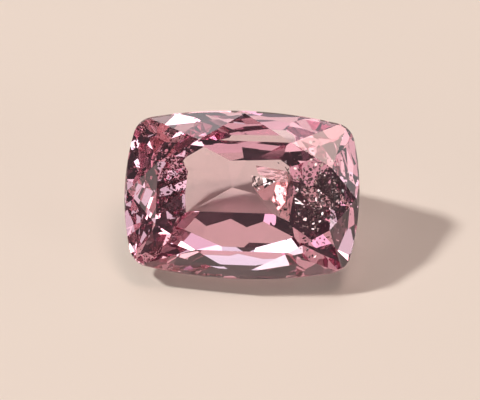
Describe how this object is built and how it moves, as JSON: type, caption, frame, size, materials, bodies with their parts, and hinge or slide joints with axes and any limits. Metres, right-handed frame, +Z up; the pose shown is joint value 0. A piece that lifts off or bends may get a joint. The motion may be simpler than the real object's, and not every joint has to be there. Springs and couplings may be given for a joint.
{
  "type": "pink sapphire",
  "caption": "Loose pink sapphire, a see-through rectangular cushion cut with a large flat table and a stepped pavilion, lying on a pavilion facet.",
  "frame": {"origin": "under the middle of the stone's box, on the surface that the stone lies on", "axes": "+X along the stone's length, +Z up, and the table faces -Y and up, 40 degrees from level"},
  "size_m": [0.009, 0.006, 0.005],
  "materials": {
    "pink_corundum": "polished, see-through"
  },
  "bodies": {
    "root": {"sapphire": "pink_corundum"}
  },
  "joints": []
}
